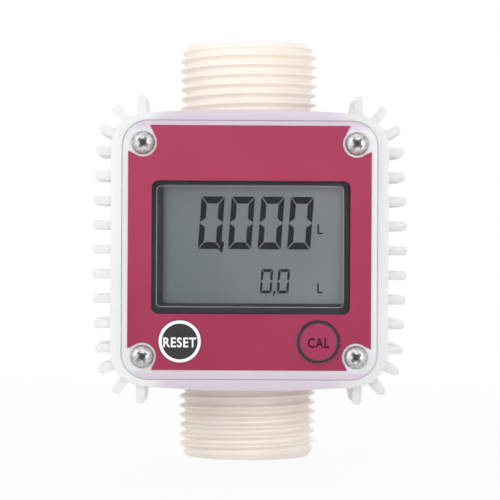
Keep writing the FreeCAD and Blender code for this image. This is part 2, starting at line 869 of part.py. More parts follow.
def check_document():
    """Stop on any object that failed or any sub-part without one valid shape."""
    doc.recompute()
    for thing in doc.Objects:
        if "Invalid" in thing.State or "Error" in thing.State:
            raise RuntimeError(f"{thing.Name} failed: {thing.State}")
    bodies = [thing for thing in doc.Objects if thing.isDerivedFrom("PartDesign::Body")]
    for body in bodies:
        if body.Shape.isNull() or not body.Shape.isValid():
            raise RuntimeError(f"{body.Label} has no valid shape")
    return bodies


meter_body()
boot()
cover_parts()
key("reset", -1)
key("cal", 1)
display()
electronics()
power()
turbine()
os.makedirs("parts", exist_ok=True)
for part in check_document():
    part.Shape.exportStep(f"parts/{part.Label}.step")
    print(f"{part.Label}: {len(part.Shape.Solids)} solid(s), {part.Shape.Volume:.1f} mm3")
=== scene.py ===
"""Turbine flow meter: finishes, threads, screws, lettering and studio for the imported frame."""

import logging
import math
from dataclasses import dataclass, field
from enum import Enum
from functools import partial
from typing import Any, Iterable, Sequence

import bmesh
import bpy
from bmesh.types import BMesh
from bpy.types import Material, Mesh, Node, NodeSocket, NodeTree, Object
from mathutils import Matrix, Vector


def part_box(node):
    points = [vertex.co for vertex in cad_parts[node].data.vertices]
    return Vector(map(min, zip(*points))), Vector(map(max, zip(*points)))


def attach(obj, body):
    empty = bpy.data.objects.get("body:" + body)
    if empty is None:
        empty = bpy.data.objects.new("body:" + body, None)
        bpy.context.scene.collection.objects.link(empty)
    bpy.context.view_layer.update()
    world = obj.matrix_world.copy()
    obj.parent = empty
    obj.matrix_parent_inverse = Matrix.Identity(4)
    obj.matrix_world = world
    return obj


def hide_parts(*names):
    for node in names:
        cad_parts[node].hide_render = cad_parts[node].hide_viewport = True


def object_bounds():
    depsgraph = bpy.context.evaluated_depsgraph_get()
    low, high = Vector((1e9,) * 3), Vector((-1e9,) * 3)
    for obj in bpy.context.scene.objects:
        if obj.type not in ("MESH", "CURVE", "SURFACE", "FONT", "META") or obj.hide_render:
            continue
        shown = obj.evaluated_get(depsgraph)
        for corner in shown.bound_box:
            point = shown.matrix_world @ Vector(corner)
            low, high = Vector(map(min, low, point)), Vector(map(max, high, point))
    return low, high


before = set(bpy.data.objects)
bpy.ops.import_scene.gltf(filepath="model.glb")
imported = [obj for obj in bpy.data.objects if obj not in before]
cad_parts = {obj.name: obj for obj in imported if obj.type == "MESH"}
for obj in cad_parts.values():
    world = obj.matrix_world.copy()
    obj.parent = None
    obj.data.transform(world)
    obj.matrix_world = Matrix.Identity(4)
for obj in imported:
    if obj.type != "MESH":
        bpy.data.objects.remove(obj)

CAD_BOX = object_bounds()
MIDDLE = (CAD_BOX[0][2] + CAD_BOX[1][2]) / 2
MM = 0.001
EASE = 0.05 * MM
# The sizes in mm that each geometry tree takes.
THREAD_SIZES = ("thread_pitch", "thread_depth", "thread_major", "thread_inner", "thread_length", "end_radius")
SCREW_SIZES = (
    "head_radius", "head_height", "dome_radius", "shank_radius",
    "recess_span", "recess_width", "recess_hub", "recess_depth",
)
# Points closer than this count as one.
WELD = 0.001 * MM
# A capital's height as a share of the font's size, and the space between letters.
CAPITAL = 0.73
LETTER_SPACE = 1.12
MATH = "ShaderNodeMath"
MAP_RANGE = "ShaderNodeMapRange"
MIX = "ShaderNodeMix"
COMBINE = "ShaderNodeCombineXYZ"
TRANSFORM = "GeometryNodeTransform"
BOOLEAN = "GeometryNodeMeshBoolean"
CYLINDER = "GeometryNodeMeshCylinder"
SPHERE = "GeometryNodeMeshUVSphere"
Pair = tuple[float, float]
Outline = Sequence[Pair]
log = logging.getLogger("flow_meter")


class Body(Enum):
    """The bodies of the record that the pieces made here ride on."""

    METER = "meter"
    RESET = "reset_button"
    CAL = "cal_button"


class End(Enum):
    """The two ends of the pipe."""

    INLET = "inlet"
    OUTLET = "outlet"


def linear(code: str) -> tuple[float, float, float, float]:
    """Turn an sRGB hex colour into linear values.

    Args:
        code: six hex digits, such as "B04060".

    Returns:
        Red, green, blue and an alpha of 1.
    """
    parts = [int(code[i : i + 2], 16) / 255 for i in (0, 2, 4)]
    return (*(c / 12.92 if c <= 0.04045 else ((c + 0.055) / 1.055) ** 2.4 for c in parts), 1.0)


def add_node(tree: NodeTree, kind: str, inputs: dict | list | None = None, **settings: Any) -> Node:
    """Add a node with its settings, its values and its links.

    Args:
        tree: the tree that the node goes into.
        kind: the node's type name.
        inputs: values, output sockets or nodes, which stand for their first output. They come in the order
            of the inputs or by input name or number, and a list of them goes into one input.
        **settings: properties of the node itself.

    Returns:
        The new node.
    """
    node = tree.nodes.new(kind)
    for name, value in settings.items():
        setattr(node, name, value)
    for key, value in inputs.items() if isinstance(inputs, dict) else enumerate(inputs or []):
        for source in value if isinstance(value, list) else [value]:
            if isinstance(source, Node):
                source = source.outputs[0]
            if isinstance(source, NodeSocket):
                tree.links.new(source, node.inputs[key])
            else:
                node.inputs[key].default_value = source
    return node


# ---- finishes


@dataclass(frozen=True)
class Finish:
    """A finish: two shades that a soft pattern mixes, a roughness and a fine surface relief.

    grain is the size of the fine relief and drift the size of the soft colour change, in mm. lean is how
    much the lighter shade gains for each mm along each axis, as painted light and shade.
    """

    name: str
    dark: str
    light: str
    roughness: float
    grain: float = 0.4
    drift: float = 12.0
    relief: float = 0.05
    metallic: float = 0.0
    ior: float = 1.5
    transmission: float = 0.0
    subsurface: float = 0.0
    depth: float = 1.0
    coat: float = 0.0
    specular: float = 0.5
    stretch: tuple[float, float, float] = (1.0, 1.0, 1.0)
    lean: tuple[float, float, float] = (0.0, 0.0, 0.0)

    def material(self) -> Material:
        """Build the finish, or return it if it is already built."""
        return bpy.data.materials.get(self.name) or self.build()

    def build(self) -> Material:
        """Build the material from noise, roughness change and bump.

        Returns:
            The material.
        """
        material = bpy.data.materials.new(self.name)
        material.use_nodes = True
        tree = material.node_tree
        add = partial(add_node, tree)
        shader = tree.nodes["Principled BSDF"]
        where = add("ShaderNodeTexCoord")
        place = add("ShaderNodeMapping", {"Vector": where.outputs["Object"], "Scale": self.stretch})
        drift = add("ShaderNodeTexNoise", {"Vector": place, "Scale": 1 / (self.drift * MM), "Detail": 2.0})
        # The lean is painted light and shade: one side of a piece lighter than the other.
        slope = tuple(part / MM for part in self.lean)
        lean = add("ShaderNodeVectorMath", [where.outputs["Object"], slope], operation="DOT_PRODUCT")
        height = self.lean[2] * MIDDLE / MM
        level = add(MATH, [lean.outputs["Value"], height], operation="SUBTRACT")
        share = add(MATH, [drift.outputs["Fac"], level], use_clamp=True)
        colour = add(MIX, {"Factor": share, 6: linear(self.dark), 7: linear(self.light)}, data_type="RGBA")
        grain = add("ShaderNodeTexNoise", {"Vector": place, "Scale": 1 / (self.grain * MM), "Detail": 3.0})
        # The grain leaves the surface up to 15% smoother or 20% rougher.
        rough = add(
            MAP_RANGE, {0: grain.outputs["Fac"], 3: self.roughness * 0.85, 4: min(1.0, self.roughness * 1.2)}
        )
        bump = add(
            "ShaderNodeBump",
            {"Strength": self.relief, "Distance": self.grain * MM, "Height": grain.outputs["Fac"]},
        )
        tree.links.new(colour.outputs[2], shader.inputs["Base Color"])
        tree.links.new(rough.outputs[0], shader.inputs["Roughness"])
        tree.links.new(bump.outputs[0], shader.inputs["Normal"])
        uniform = {
            "Metallic": self.metallic, "Transmission Weight": self.transmission,
            "Subsurface Weight": self.subsurface, "Subsurface Radius": (1.0, 0.92, 0.85),
            "Subsurface Scale": self.depth * MM, "Coat Weight": self.coat,
            "Specular IOR Level": self.specular,
        }
        if not self.metallic:
            uniform["IOR"] = self.ior
        for name, value in uniform.items():
            shader.inputs[name].default_value = value
        return material


@dataclass(frozen=True, kw_only=True)
class LippedFinish(Finish):
    """A finish with a painted reflection: a lilac tint in the lips above and below the face.

    The tint fills in from level to level + soft above and below the middle, and fades past across to the
    sides, in mm.
    """

    tint: str
    level: float
    across: float
    soft: float = 1.5

    def build(self) -> Material:
        """Build the material and lay the tint of painted reflection over its two shades.

        Returns:
            The material.
        """
        material = super().build()
        tree = material.node_tree
        add = partial(add_node, tree)
        base = tree.nodes["Principled BSDF"].inputs["Base Color"]
        plain = base.links[0].from_socket
        where = add("ShaderNodeTexCoord")
        part = add("ShaderNodeSeparateXYZ", [where.outputs["Object"]])
        rise = add(MATH, [part.outputs["Z"], MIDDLE], operation="SUBTRACT")
        away = add(MATH, [rise], operation="ABSOLUTE")
        side = add(MATH, [part.outputs["X"]], operation="ABSOLUTE")
        lip = add(MAP_RANGE, [away, self.level * MM, (self.level + self.soft) * MM])
        inner = add(MAP_RANGE, [side, self.across * MM, (self.across + 4 * self.soft) * MM, 1.0, 0.0])
        share = add(MATH, [lip, inner], operation="MULTIPLY")
        # The tint is a painted lilac reflection in the lips.
        tinted = add(MIX, {"Factor": share, 6: plain, 7: linear(self.tint)}, data_type="RGBA")
        tree.links.new(tinted.outputs[2], base)
        return material


# Moulded acetal copolymer: cream, slightly waxy, light goes a little way in.
ACETAL = Finish(
    "cream_moulded_acetal", "F9EDE3", "FDF5ED", 0.42, drift=9.0, relief=0.04, subsurface=0.15, depth=0.6
)
# Moulded thermoplastic elastomer: milky, translucent, softly satin, with a painted lilac reflection in its
# lips and painted shade that darkens it toward the right.
ELASTOMER = LippedFinish(
    "milky_moulded_elastomer", "EAEAEB", "F8F8F8", 0.34, grain=0.6, drift=18.0, relief=0.06,
    ior=1.46, transmission=0.22, subsurface=0.3, depth=2.5, coat=0.1, specular=0.3,
    tint="E2D8E4", level=28.6, across=19.0, soft=1.0, lean=(-0.012, 0.0, 0.0),
)
# Moulded clear polycarbonate: glass-clear with a faint lilac cast.
POLYCARBONATE = Finish(
    "clear_moulded_polycarbonate", "F7F3F9", "FBF9FC", 0.05, grain=1.5, drift=14.0, relief=0.01,
    ior=1.18, transmission=1.0, specular=0.3,
)
# The same polycarbonate where its rim is moulded frosted: milky lilac white, light glows through it, with a
# painted lilac reflection in its lips.
FROSTED_RIM = LippedFinish(
    "frosted_polycarbonate_rim", "EEEEF3", "F9F9FB", 0.22, grain=0.8, drift=9.0, relief=0.03,
    ior=1.3, transmission=0.2, subsurface=0.2, specular=0.4, tint="E5DAE6", level=27.0, across=25.0,
)
# Printed polyester film: crimson ink under a satin film, with painted light that makes it a little lighter
# toward the top and the left.
LABEL_FILM = Finish(
    "crimson_printed_polyester_film", "973250", "A53D5C", 0.4, grain=0.25, drift=16.0, relief=0.02,
    specular=0.12, lean=(-0.004, 0.0, 0.012),
)
# Passivated stainless steel, cold headed: bright grey with a fine mottle.
STAINLESS = Finish(
    "cold_headed_stainless_steel", "524D51", "FFFFFF", 0.45, grain=0.3, drift=0.6, relief=0.12, metallic=1.0
)
# Stamped stainless strip: bright, lightly drawn along its length.
STRIP_STEEL = Finish("stamped_stainless_strip", "BDBBBD", "DEDCDD", 0.25, grain=0.2, drift=2.0, metallic=1.0)
# Moulded black ABS: satin, fine spark-eroded texture.
BLACK_ABS = Finish(
    "black_moulded_abs", "212628", "2B3031", 0.38, grain=0.35, drift=5.0, relief=0.08, specular=0.25
)
# Rear polariser of a reflective liquid crystal cell: grey-green, with painted light that makes it a little
# lighter to the right.
POLARISER = Finish(
    "grey_green_reflective_polariser", "6B7775", "848C8B", 0.32, grain=0.2, drift=30.0, relief=0.01,
    specular=0.1, lean=(0.02, 0.0, 0.0),
)
SEGMENT = Finish(
    "dark_liquid_crystal_segment", "1C2025", "23282E", 0.4, grain=0.3, drift=3.0, relief=0.0, specular=0.05
)
# Moulded silicone rubber of the seal: milky lilac white, seen through the cover's rim.
SEAL_SILICONE = Finish("milky_moulded_silicone", "EDE3EE", "F7F1F7", 0.5, grain=0.3, drift=5.0, specular=0.2)
# Striped conductive silicone: matt rose.
SILICONE = Finish(
    "conductive_silicone_strip", "8A3350", "A0405F", 0.6, grain=0.2, drift=0.5, stretch=(1.0, 0.1, 0.1)
)
# Solder mask over glass epoxy: deep green with the weave just showing through.
SOLDER_MASK = Finish(
    "green_solder_mask", "0E3F20", "17562D", 0.3, grain=0.4, drift=2.0, relief=0.06, coat=0.3
)
# Transfer-moulded epoxy: matt charcoal.
EPOXY = Finish("moulded_chip_epoxy", "181818", "222222", 0.55, grain=0.15, drift=2.0)
REED_GLASS = Finish("drawn_clear_glass", "DDE8DD", "EAF2EA", 0.04, grain=2.0, relief=0.0, transmission=0.9)
# Shrunk gloss sleeve over a steel can.
SLEEVE = Finish("gloss_shrink_sleeve", "17181C", "23252B", 0.22, grain=1.0, drift=8.0, relief=0.03, coat=0.4)
GREY_ACETAL = Finish("grey_moulded_acetal", "34373A", "40444A", 0.4, grain=0.35, drift=5.0)
# Turned brass: warm yellow with fine turning marks.
BRASS = Finish("turned_brass", "B8914A", "D3AE66", 0.25, grain=0.15, drift=1.0, metallic=1.0)
WHITE_ACETAL = Finish(
    "white_moulded_acetal", "E2E0DB", "EFEEEA", 0.38, grain=0.35, drift=6.0, subsurface=0.15
)
MAGNET = Finish("nickel_plated_magnet", "9D9A96", "C4C1BC", 0.2, grain=0.2, drift=1.0, metallic=1.0)
# The keys: moulded silicone, and the inks of their rings and words.
WHITE_INK = Finish("white_pad_printed_ink", "ECECEE", "F6F6F7", 0.45, grain=0.2, drift=3.0, relief=0.02)
BLACK_KEY = Finish(
    "black_moulded_key_silicone", "303230", "3A3C3A", 0.5, grain=0.25, drift=3.0, relief=0.08, specular=0.15
)
DARK_RING = Finish(
    "charcoal_printed_ring", "2A2C2F", "383B3E", 0.45, grain=0.2, drift=3.0, relief=0.02, specular=0.15
)
CRIMSON_KEY = Finish(
    "crimson_moulded_key_silicone", "983452", "A03B5A", 0.45, grain=0.25, drift=6.0, relief=0.05,
    specular=0.12
)
PLUM_INK = Finish(
    "plum_printed_ink", "2A0D17", "36131F", 0.45, grain=0.2, drift=3.0, relief=0.02, specular=0.1
)
# Painted shade on the punched walls of a screw's recess: dark and hardly shiny.
PAINTED_RECESS_SHADE = Finish("painted_shade_recess_walls", "3E383B", "575154", 0.6, grain=0.15, drift=0.5, specular=0.2)
# Floor of the punch's print: steel darkened by painted shade.
PAINTED_RECESS_FLOOR_SHADE = Finish("painted_shade_recess_floor", "8A8186", "A79FA4", 0.6, grain=0.15, drift=0.5, specular=0.2)
# Painted highlight on the edge of the display's cover glass: a thin grey line.
PAINTED_EDGE_HIGHLIGHT = Finish(
    "painted_edge_highlight", "949494", "C4C4C2", 0.3, grain=0.2, drift=1.5, relief=0.02, specular=0.2
)

# The CAD nodes that stay as they are, by finish.
NODE_FINISHES = (
    (SEAL_SILICONE, "cover_gasket"),
    (LABEL_FILM, "face_label"),
    (BLACK_ABS, "display_holder left_cell_tray right_cell_tray"),
    (POLARISER, "display_panel"),
    (SILICONE, "upper_contact_strip lower_contact_strip"),
    (SOLDER_MASK, "circuit_board"),
    (EPOXY, "controller_chip reset_switch cal_switch"),
    (STRIP_STEEL, "clock_crystal cell_contacts rotor_shaft"),
    (REED_GLASS, "reed_switch"),
    (SLEEVE, "left_cell right_cell"),
    (GREY_ACETAL, "inlet_guide outlet_guide"),
    (BRASS, "inlet_bearing outlet_bearing"),
    (WHITE_ACETAL, "turbine_rotor"),
    (MAGNET, "rotor_magnets"),
    (BLACK_KEY, "reset_actuator cal_actuator"),
)


# ---- mesh helpers


def new_object(name: str, data: bpy.types.ID) -> Object:
    """Put a mesh, a lamp or a camera into the scene at the origin.

    Args:
        name: the object's name.
        data: its data.

    Returns:
        The object.
    """
    thing = bpy.data.objects.new(name, data)
    bpy.context.scene.collection.objects.link(thing)
    return thing


def merged_copy(node: str, flatten: bool = True) -> BMesh:
    """Copy a CAD node's mesh, with its doubles merged and its flat faces joined up.

    Args:
        node: the CAD node's name.
        flatten: whether flat faces are joined up; comb-shaped ones are better left as triangles.

    Returns:
        The copy as an editable mesh.
    """
    shape = bmesh.new()
    shape.from_mesh(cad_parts[node].data)
    bmesh.ops.remove_doubles(shape, verts=shape.verts, dist=2 * WELD)
    if flatten:
        bmesh.ops.dissolve_limit(
            shape, verts=shape.verts, edges=shape.edges, angle_limit=math.radians(0.5),
            use_dissolve_boundaries=False,
        )
    return shape


def shade(mesh: Mesh, sharp: float) -> None:
    """Shade a mesh smooth, apart from edges that turn by more than so many degrees."""
    mesh.shade_smooth()
    mesh.set_sharp_from_angle(angle=math.radians(sharp))


def finished(name: str, shape: BMesh, finish: Finish, smooth: float = 40.0) -> Object:
    """Turn an editable mesh into an object with one finish.

    Args:
        name: the piece's name.
        shape: the editable mesh, freed here.
        finish: the finish of the whole piece.
        smooth: faces that meet at less than this angle are shaded as one, in degrees.

    Returns:
        The object.
    """
    mesh = bpy.data.meshes.new(name)
    shape.to_mesh(mesh)
    shape.free()
    mesh.materials.append(finish.material())
    shade(mesh, smooth)
    return new_object(name, mesh)


def soften(thing: Object, width: float, steps: int = 2, angle: float = 30.0) -> None:
    """Round an object's edges with a bevel that is applied to the mesh.

    Args:
        thing: the object.
        width: the bevel's width in mm.
        steps: faces across each rounded edge.
        angle: edges that turn by more than this are rounded, in degrees.
    """
    bevel = thing.modifiers.new("rounding", "BEVEL")
    bevel.width = width * MM
    bevel.segments = steps
    bevel.limit_method = "ANGLE"
    bevel.angle_limit = math.radians(angle)
    bevel.miter_outer = "MITER_ARC"
    apply_modifiers(thing)


def evaluated_mesh(thing: Object) -> Mesh:
    """Copy an object's mesh as its modifiers or its font make it."""
    depsgraph = bpy.context.evaluated_depsgraph_get()
    return bpy.data.meshes.new_from_object(thing.evaluated_get(depsgraph), depsgraph=depsgraph)


def apply_modifiers(thing: Object) -> None:
    """Replace an object's mesh with its evaluated mesh and drop its modifiers.

    Args:
        thing: the object.
    """
    mesh = evaluated_mesh(thing)
    thing.modifiers.clear()
    thing.data = mesh


def metres(sizes: object, names: Iterable[str]) -> dict[str, float]:
    """Look up some sizes of a sub-assembly and turn them from mm into metres."""
    return {name: getattr(sizes, name) * MM for name in names}


def grow(name: str, tree: NodeTree, finish: Finish, sizes: dict[str, float]) -> Object:
    """Run a geometry tree once and keep its result as a plain mesh.

    Args:
        name: the piece's name.
        tree: the geometry tree.
        finish: the finish that the tree sets.
        sizes: the values of the tree's named inputs.

    Returns:
        The object, with no modifier left on it.
    """
    thing = new_object(name, bpy.data.meshes.new(name))
    modifier = thing.modifiers.new("grow", "NODES")
    modifier.node_group = tree
    wanted = {**sizes, "finish": finish.material()}
    for item in tree.interface.items_tree:
        if item.in_out == "INPUT":
            modifier[item.identifier] = wanted[item.name]
    apply_modifiers(thing)
    return thing


def new_tree(name: str, sizes: Iterable[str]) -> tuple[NodeTree, Any, Node]:
    """Start a geometry tree with named inputs.

    Args:
        name: the tree's name.
        sizes: names of its sizes.

    Returns:
        The tree, the outputs of its input node by name, and its output node.
    """
    tree = bpy.data.node_groups.new(name, "GeometryNodeTree")
    for label in sizes:
        tree.interface.new_socket(label, in_out="INPUT", socket_type="NodeSocketFloat")
    tree.interface.new_socket("finish", in_out="INPUT", socket_type="NodeSocketMaterial")
    tree.interface.new_socket("Geometry", in_out="OUTPUT", socket_type="NodeSocketGeometry")
    return tree, add_node(tree, "NodeGroupInput").outputs, add_node(tree, "NodeGroupOutput")


def finish_tree(tree: NodeTree, geometry: Node, given: Any, result: Node) -> None:
    """End a geometry tree with Realize Instances and Set Material.

    Args:
        tree: the tree.
        geometry: the node that makes the shape.
        given: the outputs of the tree's input node.
        result: the tree's output node.
    """
    real = add_node(tree, "GeometryNodeRealizeInstances", [geometry])
    dressed = add_node(tree, "GeometryNodeSetMaterial", {"Geometry": real, "Material": given["finish"]})
    tree.links.new(dressed.outputs[0], result.inputs[0])


def join(target: Object, others: Sequence[Object]) -> None:
    """Join other objects' meshes into a target, materials included, and delete the others."""
    with bpy.context.temp_override(active_object=target, selected_editable_objects=[target, *others]):
        bpy.ops.object.join()


def prism(shape: BMesh, outline: Outline, near: float, far: float) -> None:
    """Add a closed prism that stands on an outline in the face's plane.

    Args:
        shape: the editable mesh.
        outline: points across and up, counted anticlockwise as seen from the front, in metres.
        near: forward distance of its front, in metres.
        far: forward distance of its back, in metres.
    """
    front = [shape.verts.new((x, -near, z)) for x, z in outline]
    back = [shape.verts.new((x, -far, z)) for x, z in outline]
    shape.faces.new(front)
    shape.faces.new(back[::-1])
    for i in range(len(outline)):
        j = (i + 1) % len(outline)
        shape.faces.new((front[i], back[i], back[j], front[j]))


def rounded_loop(centre: Pair, across: float, up: float, corner: float, steps: int = 12) -> list[Pair]:
    """List the points of a rectangle with rounded corners, anticlockwise.

    Args:
        centre: its middle, across and up, in metres.
        across: half its width in metres.
        up: half its height in metres.
        corner: the radius of its corners in metres.
        steps: runs in each corner.

    Returns:
        The points across and up, in metres.
    """
    points = []
    for turn, (side, level) in enumerate(((1, 1), (-1, 1), (-1, -1), (1, -1))):
        x = centre[0] + side * (across - corner)
        y = centre[1] + level * (up - corner)
        for i in range(steps + 1):
            angle = math.pi / 2 * (turn + i / steps)
            points.append((x + corner * math.cos(angle), y + corner * math.sin(angle)))
    return points


def band(shape: BMesh, outer: Outline, inner: Outline, near: float, far: float) -> None:
    """Add a closed flat ring between two loops of as many points.

    Args:
        shape: the editable mesh.
        outer: points across and up of the outer loop, in metres.
        inner: points across and up of the inner loop, in metres.
        near: forward distance of its front, in metres.
        far: forward distance of its back, in metres.
    """
    corners = [(outer, near), (inner, near), (inner, far), (outer, far)]
    rows = [[shape.verts.new((x, -forward, z)) for x, z in loop] for loop, forward in corners]
    for k, row in enumerate(rows):
        after = rows[(k + 1) % 4]
        for i in range(len(row)):
            j = (i + 1) % len(row)
            shape.faces.new((row[i], row[j], after[j], after[i]))
    bmesh.ops.remove_doubles(shape, verts=shape.verts, dist=WELD)
    bmesh.ops.recalc_face_normals(shape, faces=shape.faces)


def text_piece(name: str, words: str, height: float, weight: float, centre: Vector, finish: Finish,
               thickness: float = 0.04, width: float | None = None) -> Object:
    """Write words on the face as a closed raised mesh.

    Args:
        name: the piece's name.
        words: what it says.
        height: the height of a capital, in mm.
        weight: how much the strokes are fattened, in mm.
        centre: the middle of the words on their front, in metres.
        finish: the ink.
        thickness: how far the ink stands up, in mm.
        width: the whole width of the words, in mm, or None to keep the font's own.

    Returns:
        The object.
    """
    curve = bpy.data.curves.new(name, "FONT")
    curve.body = words
    curve.align_x = "CENTER"
    curve.align_y = "CENTER"
    curve.size = height * MM / CAPITAL
    curve.offset = weight * MM
    curve.space_character = LETTER_SPACE
    curve.extrude = thickness * MM / 2
    curve.resolution_u = 4
    holder = new_object(name + "_curve", curve)
    mesh = evaluated_mesh(holder)
    bpy.data.objects.remove(holder)
    across = [v.co.x for v in mesh.vertices]
    upward = [v.co.y for v in mesh.vertices]
    middle = Vector(((min(across) + max(across)) / 2, (min(upward) + max(upward)) / 2, 0))
    mesh.transform(Matrix.Translation(-middle))
    if width:
        mesh.transform(Matrix.Scale(width * MM / (max(across) - min(across)), 4, Vector((1, 0, 0))))
    mesh.transform(Matrix.Translation(centre) @ Matrix.Rotation(math.pi / 2, 4, "X"))
    shape = bmesh.new()
    shape.from_mesh(mesh)
    bmesh.ops.remove_doubles(shape, verts=shape.verts, dist=WELD / 2)
    bmesh.ops.recalc_face_normals(shape, faces=shape.faces)
    return finished(name, shape, finish, 20)


# ---- sub-assemblies


@dataclass
class MeterBody:
    """The moulded body: the pipe, the electronics case and the two threaded spigots.

    crest and root are where the thread's flank starts and ends, in pitches from its crest. blend rounds the
    thread into the end chamfer, and lap is how far the sleeve laps over the spigot, in mm.
    """

    thread_depth: float = 1.479
    thread_pitch: float = 2.309
    thread_major: float = 16.6
    thread_inner: float = 14.9
    thread_length: float = 18.0
    end_radius: float = 15.05
    lead: float = 0.6
    blend: float = 0.2
    crest: float = 0.03
    root: float = 0.46
    lap: float = 0.02
    sides: int = 144
    rows: int = 130
    phases: dict[End, float] = field(default_factory=lambda: {End.INLET: 0.66, End.OUTLET: 0.14})

    def thread_tree(self) -> NodeTree:
        """Build the tree of a threaded sleeve: a closed ring of rows whose radius follows the helix.

        Returns:
            The geometry tree. Its phase is where the crest lies at height 0 on the +X side.
        """
        tree, given, result = new_tree("thread", (*THREAD_SIZES, "lead", "phase"))
        add = partial(add_node, tree)
        grid = add(
            "GeometryNodeMeshGrid",
            {"Size X": 1.0, "Size Y": 1.0, "Vertices X": self.sides + 1, "Vertices Y": self.rows + 4},
        )
        place = add("GeometryNodeInputPosition")
        split = add("ShaderNodeSeparateXYZ", [place])
        turn = add(MATH, [split.outputs["X"], 0.5])
        rise = add(MATH, [split.outputs["Y"], 0.5])
        counted = add(MATH, [rise, self.rows + 3], operation="MULTIPLY")
        row = add(MATH, [counted], operation="ROUND")
        # Row 0 is the inner wall at the end face, then the thread, then the inner wall back to row 0.
        step = add(MATH, [row, 1.0], operation="SUBTRACT")
        share = add(MATH, [step, self.rows], operation="DIVIDE", use_clamp=True)
        open_row = add(MATH, [row, self.rows + 2.5], operation="LESS_THAN")
        along = add(MATH, [share, open_row], operation="MULTIPLY")
        height = add(MATH, [along, given["thread_length"]], operation="MULTIPLY")
        after_first = add(MATH, [row, 0.5], operation="GREATER_THAN")
        before_last = add(MATH, [row, self.rows + 1.5], operation="LESS_THAN")
        is_outer = add(MATH, [after_first, before_last], operation="MULTIPLY")
        # The helix: a triangular wave with rounded crest and root.
        pitches = add(MATH, [height, given["thread_pitch"]], operation="DIVIDE")
        wound = add(MATH, [pitches, turn], operation="SUBTRACT")
        shifted = add(MATH, [wound, given["phase"]], operation="SUBTRACT")
        wave = add(MATH, [shifted, 0.5], operation="PINGPONG")
        groove = add(MAP_RANGE, [wave, self.crest, self.root], interpolation_type="SMOOTHSTEP")
        cut = add(MATH, [groove, given["thread_depth"]], operation="MULTIPLY")
        radius = add(MATH, [given["thread_major"], cut], operation="SUBTRACT")
        widening = add(MATH, [given["lead"], height], operation="MULTIPLY")
        chamfer = add(MATH, [given["end_radius"], widening])
        threaded = add(MATH, [radius, chamfer, self.blend * MM], operation="SMOOTH_MIN")
        reach = add(MIX, {"Factor": is_outer, 2: given["thread_inner"], 3: threaded}, data_type="FLOAT")
        angle = add(MATH, [turn, math.tau], operation="MULTIPLY")
        cosine = add(MATH, [angle], operation="COSINE")
        sine = add(MATH, [angle], operation="SINE")
        x = add(MATH, [cosine, reach], operation="MULTIPLY")
        y = add(MATH, [sine, reach], operation="MULTIPLY")
        point = add(COMBINE, [x, y, height])
        wrapped = add("GeometryNodeSetPosition", {0: grid, "Position": point})
        closed = add("GeometryNodeMergeByDistance", {0: wrapped, "Distance": WELD})
        finish_tree(tree, closed, given, result)
        return tree

    def thread(self, tree: NodeTree, end: End, length: float) -> Object:
        """Make one threaded sleeve in its place.

        Args:
            tree: the thread's geometry tree.
            end: which end of the pipe it stands on.
            length: the pipe's whole length in metres.

        Returns:
            The sleeve.
        """
        outlet = end is End.OUTLET
        # The outlet sleeve is turned over, so its phase is counted from the other side.
        phase = self.phases[end]
        if outlet:
            phase = (length / (self.thread_pitch * MM) - phase - 0.5) % 1.0
        sizes = {**metres(self, THREAD_SIZES), "lead": self.lead, "phase": phase}
        sleeve = grow(f"{end.value}_thread", tree, ACETAL, sizes)
        if outlet:
            sleeve.data.transform(Matrix.Translation((0, 0, length)) @ Matrix.Rotation(math.pi, 4, "Y"))
        return sleeve

    def build(self) -> Object:
        """Build the body with its threads.

        Returns:
            The piece, which stands for the CAD body.
        """
        low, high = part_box("meter_body")
        length = high.z - low.z
        shape = merged_copy("meter_body")
        for vert in shape.verts:
            across = math.hypot(vert.co.x, vert.co.y)
            from_end = min(vert.co.z - low.z, high.z - vert.co.z)
            on_spigot = self.end_radius * MM - EASE < across < self.thread_major * MM + 2 * EASE
            if from_end < self.thread_length * MM + EASE and on_spigot:
                vert.co.xy *= (self.thread_inner + self.lap) * MM / across
        piece = finished("threaded_meter_body", shape, ACETAL)
        tree = self.thread_tree()
        sleeves = [self.thread(tree, end, length) for end in End]
        join(piece, sleeves)
        shape = bmesh.new()
        shape.from_mesh(piece.data)
        bmesh.ops.recalc_face_normals(shape, faces=shape.faces)
        shape.to_mesh(piece.data)
        shape.free()
        shade(piece.data, 50)
        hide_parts("meter_body")
        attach(piece, Body.METER.value)
        return piece


@dataclass
class SoftenedNode:
    """A CAD node shown with rounded edges, such as the boot and the cover."""

    node: str
    name: str
    slot: str
    finish: Finish
    rounding: float
    steps: int = 2
    sharp: float = 30.0
    flatten: bool = True

    def build(self) -> Object:
        """Round the node's edges and stand for it.

        Returns:
            The piece.
        """
        piece = finished(self.name, merged_copy(self.node, self.flatten), self.finish)
        soften(piece, self.rounding, self.steps, self.sharp)
        shade(piece.data, 50)
        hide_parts(self.node)
        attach(piece, Body.METER.value)
        return piece


@dataclass
class FrontCover(SoftenedNode):
    """The clear cover, whose rim outside the display is frosted."""

    clear_half: Pair = (24.0, 18.0)

    def build(self) -> Object:
        """Build the softened cover and frost its rim.

        Returns:
            The piece.
        """
        piece = super().build()
        low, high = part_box(self.node)
        middle = (low + high) / 2
        shape = bmesh.new()
        shape.from_mesh(piece.data)
        across, up = (half * MM for half in self.clear_half)
        for axis in (Vector((across, 0, 0)), Vector((0, 0, up))):
            for side in (-1, 1):
                cut = middle + axis * side
                geometry = [*shape.verts, *shape.edges, *shape.faces]
                bmesh.ops.bisect_plane(shape, geom=geometry, dist=WELD, plane_co=cut, plane_no=axis)
        for face in shape.faces:
            away = face.calc_center_median() - middle
            face.material_index = int(abs(away.x) > across or abs(away.z) > up)
        shape.to_mesh(piece.data)
        shape.free()
        piece.data.materials.append(FROSTED_RIM.material())
        return piece


